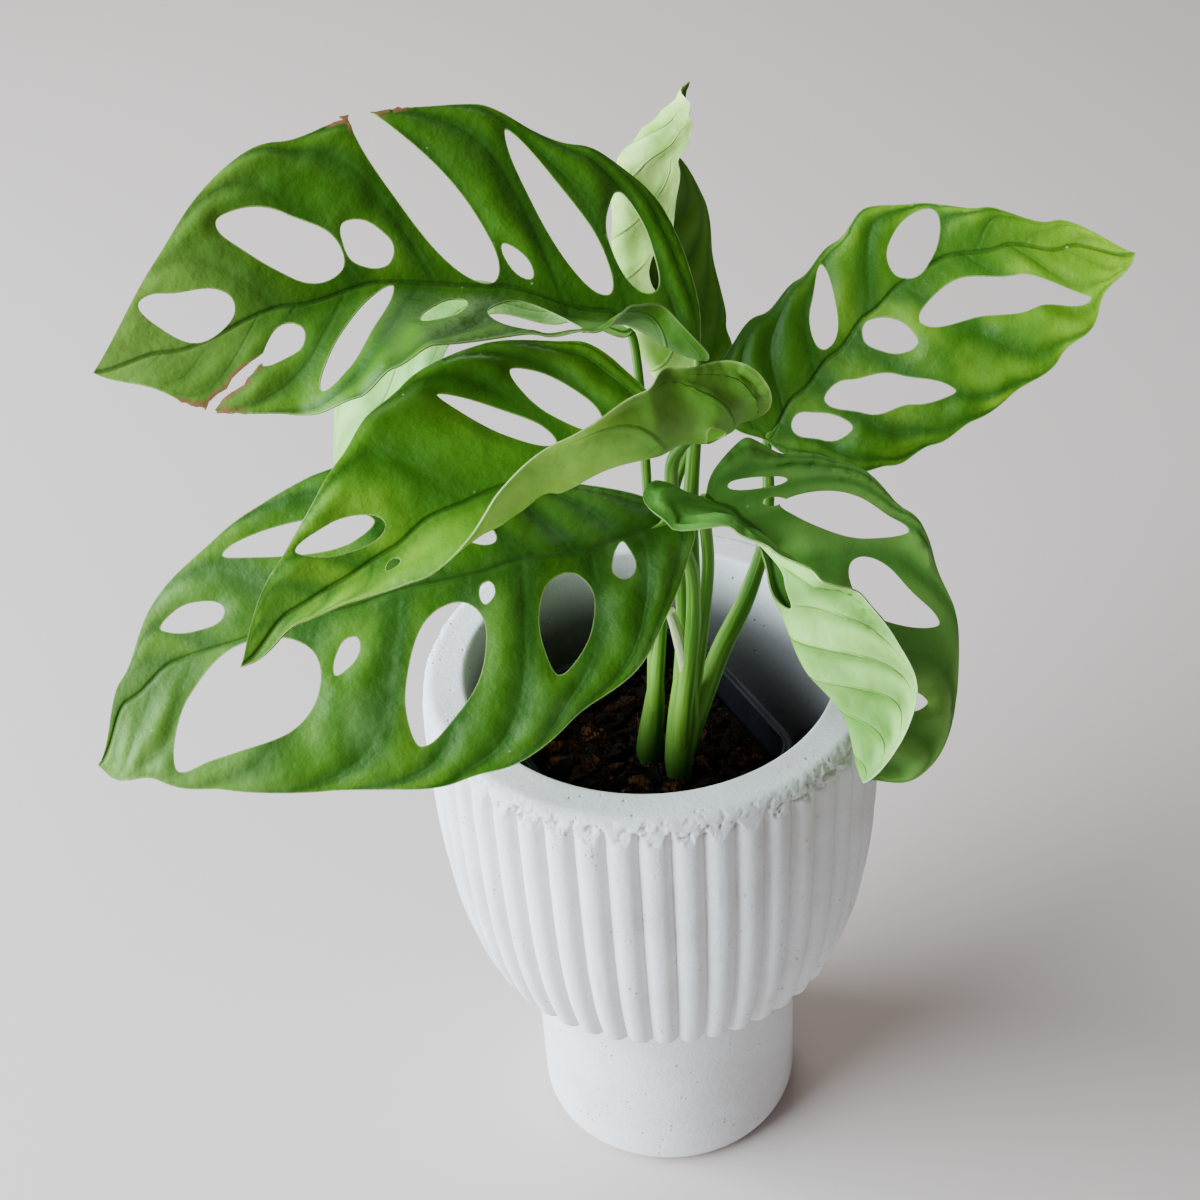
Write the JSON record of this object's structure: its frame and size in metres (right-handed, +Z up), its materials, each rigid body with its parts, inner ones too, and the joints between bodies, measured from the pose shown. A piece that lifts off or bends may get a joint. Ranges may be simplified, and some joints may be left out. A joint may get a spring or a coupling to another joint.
{
  "type": "monstera adansonii in a planter",
  "caption": "Potted Swiss cheese vine: broad pointed leaves with oval holes and torn slits on long stalks, in a square nursery pot inside a white reeded planter on a plain foot.",
  "frame": {"origin": "centre of the flat underside of the planter's foot", "axes": "+Z up through the planter's axis, -Y towards the side that the picture shows, +X to that viewer's right"},
  "size_m": [0.3019, 0.1573, 0.3634],
  "materials": {
    "planter": "matte",
    "nursery_plastic": "satin",
    "bark_mix": "matte",
    "leaf": "satin",
    "stalk": "satin"
  },
  "bodies": {
    "root": {"outer_pot": "planter", "nursery_pot": "nursery_plastic", "soil": "bark_mix", "leaf_upper_left": "leaf", "leaf_centre": "leaf", "leaf_lower_left": "leaf", "leaf_right": "leaf", "leaf_drooping": "leaf", "leaf_young": "leaf", "leaf_back": "leaf", "stalks_front": "stalk", "stalks_left": "stalk"}
  },
  "joints": []
}
